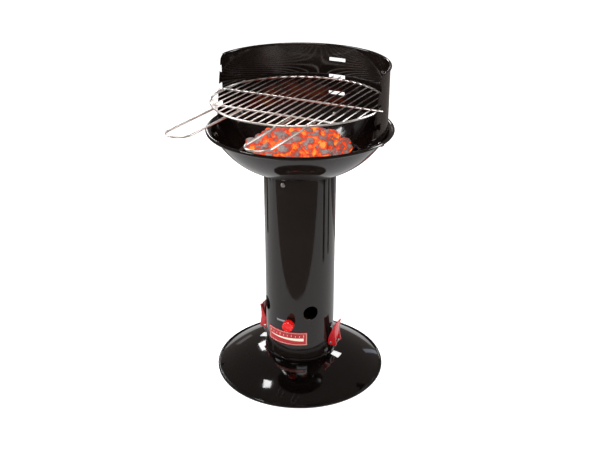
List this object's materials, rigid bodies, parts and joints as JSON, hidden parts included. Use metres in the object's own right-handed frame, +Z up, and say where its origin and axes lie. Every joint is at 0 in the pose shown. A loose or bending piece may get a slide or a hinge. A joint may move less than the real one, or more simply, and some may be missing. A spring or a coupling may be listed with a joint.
{
  "type": "pedestal charcoal grill",
  "caption": "Round charcoal grill: fire bowl with windscreen and sliding wire grid on a chimney column with turning damper, clipped to a domed base.",
  "frame": {"origin": "the column's axis at the floor, in the middle of the ash pan's underside", "axes": "+Z up along the column, -Y to the front where the handles point, +X to the right seen from the front"},
  "size_m": [0.444, 0.5775, 0.8002],
  "materials": {
    "black_enamel": "gloss vitreous enamel",
    "chrome_wire": "bright plated wire",
    "galvanised_steel": "bare zinc-coated sheet",
    "grate_steel": "heat-darkened wire",
    "zinc_fasteners": "zinc-plated",
    "red_levers": "satin red",
    "red_knob": "glossy red",
    "red_plate": "printed red enamel",
    "glowing_charcoal": "ashy burning charcoal"
  },
  "bodies": {
    "stand": {"ash_pan": "galvanised_steel", "base_plate": "black_enamel", "bowl": "black_enamel", "bowl_collar": "black_enamel", "column_nut_1": "zinc_fasteners", "column_nut_2": "zinc_fasteners", "column_nut_3": "zinc_fasteners", "column_screw_1": "zinc_fasteners", "column_screw_2": "zinc_fasteners", "column_screw_3": "zinc_fasteners", "column_tube": "black_enamel", "latch_bracket_left": "black_enamel", "latch_bracket_right": "black_enamel", "latch_pin_left": "zinc_fasteners", "latch_pin_right": "zinc_fasteners", "latch_rivet_left_1": "zinc_fasteners", "latch_rivet_left_2": "zinc_fasteners", "latch_rivet_right_1": "zinc_fasteners", "latch_rivet_right_2": "zinc_fasteners", "scale_plate": "red_plate", "windscreen": "black_enamel", "windscreen_nut_left": "zinc_fasteners", "windscreen_nut_rear": "zinc_fasteners", "windscreen_nut_right": "zinc_fasteners", "windscreen_screw_left": "zinc_fasteners", "windscreen_screw_rear": "zinc_fasteners", "windscreen_screw_right": "zinc_fasteners"},
    "damper": {"damper_ring": "galvanised_steel", "damper_knob": "red_knob", "knob_screw": "zinc_fasteners"},
    "lever_right": {"latch_lever_right": "red_levers"},
    "bail_right": {"latch_bail_right": "chrome_wire"},
    "lever_left": {"latch_lever_left": "red_levers"},
    "bail_left": {"latch_bail_left": "chrome_wire"},
    "fire": {"charcoal_grate": "grate_steel", "charcoal_bed": "glowing_charcoal"},
    "grid": {"cooking_grid": "chrome_wire", "grid_handle_left": "chrome_wire", "grid_handle_right": "chrome_wire"}
  },
  "joints": [
    {"name": "damper_turn", "type": "hinge", "parent": "stand", "child": "damper", "pos_m": [0, 0, 0.1665], "axis": [0, 0, 1], "range_deg": [-25, 4]},
    {"name": "lever_right_open", "type": "hinge", "parent": "stand", "child": "lever_right", "pos_m": [0.0955, 0, 0.089], "axis": [0, 1, 0], "range_deg": [0, 110]},
    {"name": "bail_right_swing", "type": "hinge", "parent": "lever_right", "child": "bail_right", "pos_m": [0.1065, 0, 0.089], "axis": [0, 1, 0], "range_deg": [-165, 0]},
    {"name": "lever_left_open", "type": "hinge", "parent": "stand", "child": "lever_left", "pos_m": [-0.0955, 0, 0.089], "axis": [0, -1, 0], "range_deg": [0, 110]},
    {"name": "bail_left_swing", "type": "hinge", "parent": "lever_left", "child": "bail_left", "pos_m": [-0.1065, 0, 0.089], "axis": [0, -1, 0], "range_deg": [-165, 0]},
    {"name": "grate_lift", "type": "slide", "parent": "stand", "child": "fire", "axis": [0, 0, 1], "range_m": [0, 0.08]},
    {"name": "grid_lift_out", "type": "slide", "parent": "stand", "child": "grid", "axis": [0, -0.766, 0.6428], "range_m": [0, 0.16]}
  ],
  "couplings": [
    {"joint": "bail_right_swing", "follows": "lever_right_open", "ratio": -1.5},
    {"joint": "bail_left_swing", "follows": "lever_left_open", "ratio": -1.5}
  ]
}
